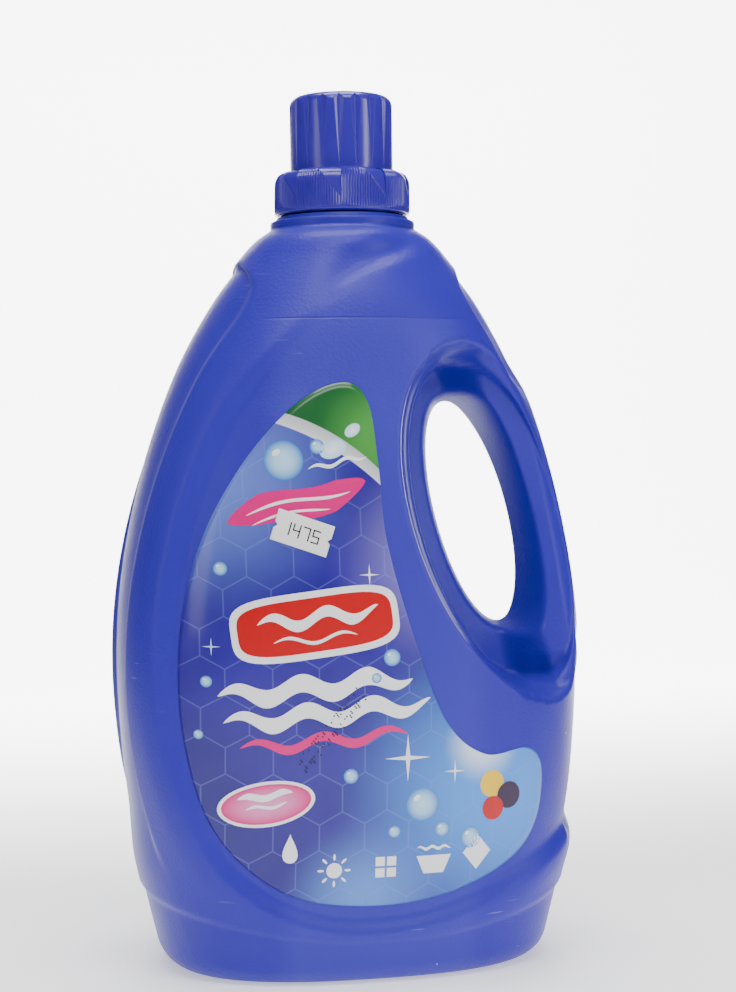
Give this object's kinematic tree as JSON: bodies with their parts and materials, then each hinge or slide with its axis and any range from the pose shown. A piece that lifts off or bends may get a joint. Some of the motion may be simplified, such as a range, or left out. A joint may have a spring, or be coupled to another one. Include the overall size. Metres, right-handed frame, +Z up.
{
  "type": "liquid soap jug",
  "caption": "Blown jug for liquid laundry soap, with a pinched handle, a front label, a fluted dosing cap on a toothed skirt and a slanted pouring spout inside.",
  "frame": {"origin": "on the surface the jug stands on, under the middle of its base and its neck", "axes": "+Z up, +X towards the handle, -Y out of the labelled front"},
  "size_m": [0.19, 0.1437, 0.3455],
  "materials": {
    "body": "satin",
    "label": "gloss",
    "paper": "matt",
    "spout": "satin",
    "seal": "matt",
    "cap": "gloss"
  },
  "bodies": {
    "jug": {"bottle": "body", "front_label": "label", "price_sticker": "paper", "pour_spout": "spout"},
    "seal": {"seal_ring": "seal"},
    "closure": {"cap": "cap"}
  },
  "joints": [
    {"name": "cap_lift", "type": "slide", "parent": "jug", "child": "seal", "axis": [0, 0, 1], "range_m": [0, 0.06]},
    {"name": "cap_twist", "type": "hinge", "parent": "seal", "child": "closure", "pos_m": [0, 0, 0.3], "axis": [0, 0, 1], "range_deg": [0, 540]}
  ]
}
